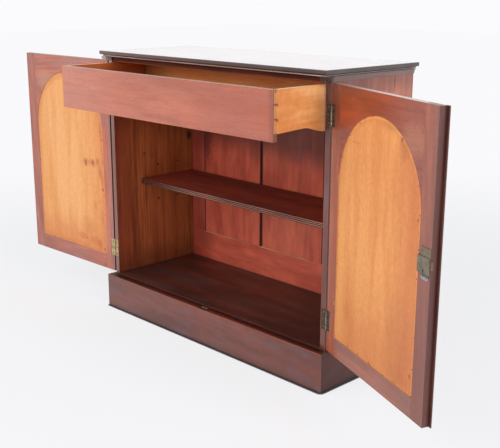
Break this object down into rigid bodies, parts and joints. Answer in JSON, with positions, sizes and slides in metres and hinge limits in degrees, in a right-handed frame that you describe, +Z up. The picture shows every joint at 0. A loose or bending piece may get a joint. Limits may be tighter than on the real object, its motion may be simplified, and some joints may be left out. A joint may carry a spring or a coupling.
{
  "type": "chiffonier",
  "caption": "Low mahogany side cupboard with arched panel doors, a long inner drawer, a reeded shelf on pegs, a framed back and a plinth, stored with its doors and drawer open.",
  "frame": {"origin": "on the floor, at the centre of the plinth's footprint, on the underside of its centre bearer", "axes": "+Z up, -Y out of the front where the doors and drawer are, +X to the right seen from the front"},
  "size_m": [2.1116, 0.612, 0.97],
  "materials": {
    "mahogany": "worn shellac polish",
    "dark_mahogany": "dark shellac polish",
    "stained_pine": "old stain, dull",
    "red_stained_pine": "red wash, dull",
    "pine": "bare aged pine",
    "beech": "turned, dark with age",
    "brass": "tarnished brass"
  },
  "bodies": {
    "carcass": {"top_board": "mahogany", "top_cove_left": "mahogany", "top_cove_right": "mahogany", "plinth_front": "mahogany", "plinth_left": "mahogany", "plinth_right": "mahogany", "top_rail_front": "dark_mahogany", "bottom_board": "dark_mahogany", "shelf": "dark_mahogany", "case_side_left": "stained_pine", "case_side_right": "stained_pine", "drawer_kicker_left": "stained_pine", "drawer_kicker_right": "stained_pine", "drawer_runner_left": "stained_pine", "drawer_runner_right": "stained_pine", "top_rail_back": "stained_pine", "plinth_back": "stained_pine", "plinth_front_bearer": "stained_pine", "plinth_centre_bearer": "stained_pine", "back_frame": "red_stained_pine", "back_panel_left": "red_stained_pine", "back_panel_centre": "red_stained_pine", "back_panel_right": "red_stained_pine", "shelf_peg_left_front": "beech", "shelf_peg_left_rear": "beech", "shelf_peg_right_front": "beech", "shelf_peg_right_rear": "beech", "bolt_keep": "brass", "case_hinge_leaf_left_lower": "brass", "case_hinge_leaf_left_upper": "brass", "case_hinge_leaf_right_lower": "brass", "case_hinge_leaf_right_upper": "brass"},
    "drawer": {"drawer_front": "mahogany", "drawer_side_left": "pine", "drawer_side_right": "pine", "drawer_back": "pine", "drawer_bottom": "pine"},
    "right_door": {"right_door_astragal": "mahogany", "right_door_hinge_stile": "mahogany", "right_door_lock_stile": "mahogany", "right_door_arched_rail": "mahogany", "right_door_bottom_rail": "mahogany", "right_door_moulding": "mahogany", "right_door_panel": "pine", "lock_case": "brass", "right_door_hinge_leaf_lower": "brass", "right_door_hinge_leaf_upper": "brass"},
    "left_door": {"left_door_hinge_stile": "mahogany", "left_door_lock_stile": "mahogany", "left_door_arched_rail": "mahogany", "left_door_bottom_rail": "mahogany", "left_door_moulding": "mahogany", "left_door_panel": "pine", "lower_bolt_plate": "brass", "upper_bolt_plate": "brass", "left_door_hinge_leaf_lower": "brass", "left_door_hinge_leaf_upper": "brass"},
    "lock_bolt": {"lock_bolt": "brass"},
    "lower_bolt": {"lower_bolt": "brass"},
    "upper_bolt": {"upper_bolt": "brass"}
  },
  "joints": [
    {"name": "drawer_slide", "type": "slide", "parent": "carcass", "child": "drawer", "axis": [0, -1, 0], "range_m": [-0.214, 0.07]},
    {"name": "right_door_hinge", "type": "hinge", "parent": "carcass", "child": "right_door", "pos_m": [0.534, -0.17825, 0.536], "axis": [0, 0, 1], "range_deg": [-71.5, 32.5]},
    {"name": "left_door_hinge", "type": "hinge", "parent": "carcass", "child": "left_door", "pos_m": [-0.534, -0.17825, 0.536], "axis": [0, 0, -1], "range_deg": [-92, 12]},
    {"name": "lock_bolt_slide", "type": "slide", "parent": "right_door", "child": "lock_bolt", "axis": [0.9239, -0.3827, 0], "range_m": [0, 0.008]},
    {"name": "lower_bolt_slide", "type": "slide", "parent": "left_door", "child": "lower_bolt", "axis": [0, 0, -1], "range_m": [0, 0.014]},
    {"name": "upper_bolt_slide", "type": "slide", "parent": "left_door", "child": "upper_bolt", "axis": [0, 0, 1], "range_m": [0, 0.023]}
  ]
}
